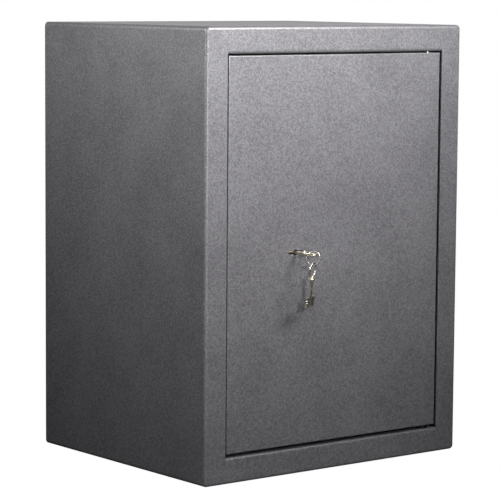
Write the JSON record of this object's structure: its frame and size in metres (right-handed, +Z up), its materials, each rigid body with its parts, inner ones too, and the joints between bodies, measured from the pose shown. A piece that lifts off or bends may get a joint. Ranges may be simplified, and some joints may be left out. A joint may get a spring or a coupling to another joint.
{
  "type": "key-lock safe",
  "caption": "Upright sheet-steel safe with a flush door on concealed pivots, a double-bit key lock, sliding bolts and a shelf inside.",
  "frame": {"origin": "centre of the cabinet's bottom face", "axes": "+X to the right seen from the front, +Y to the back, +Z up"},
  "size_m": [0.445, 0.4177, 0.6],
  "materials": {
    "powder_coat": "textured graphite powder coat",
    "inner_coat": "fine graphite powder coat",
    "zinc_steel": "bright zinc plate",
    "bright_steel": "turned steel",
    "hardened_steel": "black-oxide steel",
    "spring_steel": "blued spring steel",
    "screw_steel": "zinc-plated screws",
    "brass": "milled brass",
    "bronze": "sintered bronze",
    "nickel": "worn nickel plate"
  },
  "bodies": {
    "cabinet": {"body_wrap": "powder_coat", "back_panel": "powder_coat", "strike_bar": "inner_coat", "hinge_pin_top": "bright_steel", "hinge_pin_bottom": "bright_steel", "pin_boss_top": "inner_coat", "pin_boss_bottom": "inner_coat", "shelf": "inner_coat", "shelf_screws": "screw_steel", "shelf_bracket_left": "inner_coat", "shelf_bracket_right": "inner_coat"},
    "door": {"anti_pry_rail": "inner_coat", "cover_posts": "zinc_steel", "cover_screws": "screw_steel", "door_panel": "powder_coat", "guide_nuts": "zinc_steel", "guide_posts": "zinc_steel", "hinge_block_bottom": "inner_coat", "hinge_block_top": "inner_coat", "hinge_bush_bottom": "bronze", "hinge_bush_top": "bronze", "inner_cover": "inner_coat", "lever_1": "brass", "lever_2": "brass", "lever_3": "brass", "lever_4": "brass", "lever_5": "brass", "lever_6": "brass", "lever_post": "brass", "lever_spring_1": "spring_steel", "lever_spring_2": "spring_steel", "lever_spring_3": "spring_steel", "lever_spring_4": "spring_steel", "lever_spring_5": "spring_steel", "lever_spring_6": "spring_steel", "lock_cap": "zinc_steel", "lock_case": "hardened_steel", "lock_screws": "screw_steel", "thrust_washer": "hardened_steel"},
    "boltwork": {"lock_bolt": "zinc_steel", "bolt_bar": "zinc_steel", "bolt_bottom": "bright_steel", "bolt_middle": "bright_steel", "bolt_top": "bright_steel", "bolt_screws": "screw_steel", "link_screw": "screw_steel"},
    "curtain": {"curtain": "hardened_steel"},
    "key": {"key": "nickel"},
    "ring": {"key_ring": "nickel"},
    "spare": {"spare_key": "nickel"}
  },
  "joints": [
    {"name": "door_swing", "type": "hinge", "parent": "cabinet", "child": "door", "pos_m": [0.17, -0.1765, 0.3], "axis": [0, 0, 1], "range_deg": [0, 90]},
    {"name": "key_turn", "type": "hinge", "parent": "door", "child": "curtain", "pos_m": [-0.0715, -0.1875, 0.3], "axis": [0, 1, 0], "range_deg": [0, 90]},
    {"name": "bolt_throw", "type": "slide", "parent": "door", "child": "boltwork", "axis": [-1, 0, 0], "range_m": [0, 0.012]},
    {"name": "key_withdraw", "type": "slide", "parent": "curtain", "child": "key", "axis": [0, -1, 0], "range_m": [0, 0.024]},
    {"name": "ring_hang", "type": "hinge", "parent": "key", "child": "ring", "pos_m": [-0.0715, -0.22325, 0.3], "axis": [0, 1, 0], "range_deg": [-90, 0]},
    {"name": "spare_swing", "type": "hinge", "parent": "ring", "child": "spare", "pos_m": [-0.0715, -0.22325, 0.2866], "axis": [-0.7071, 0.7071, 0], "range_deg": [-8, 40]}
  ],
  "couplings": [
    {"joint": "key_turn", "follows": "bolt_throw", "rad_per_m": 130.9},
    {"joint": "ring_hang", "follows": "bolt_throw", "rad_per_m": -130.9}
  ]
}
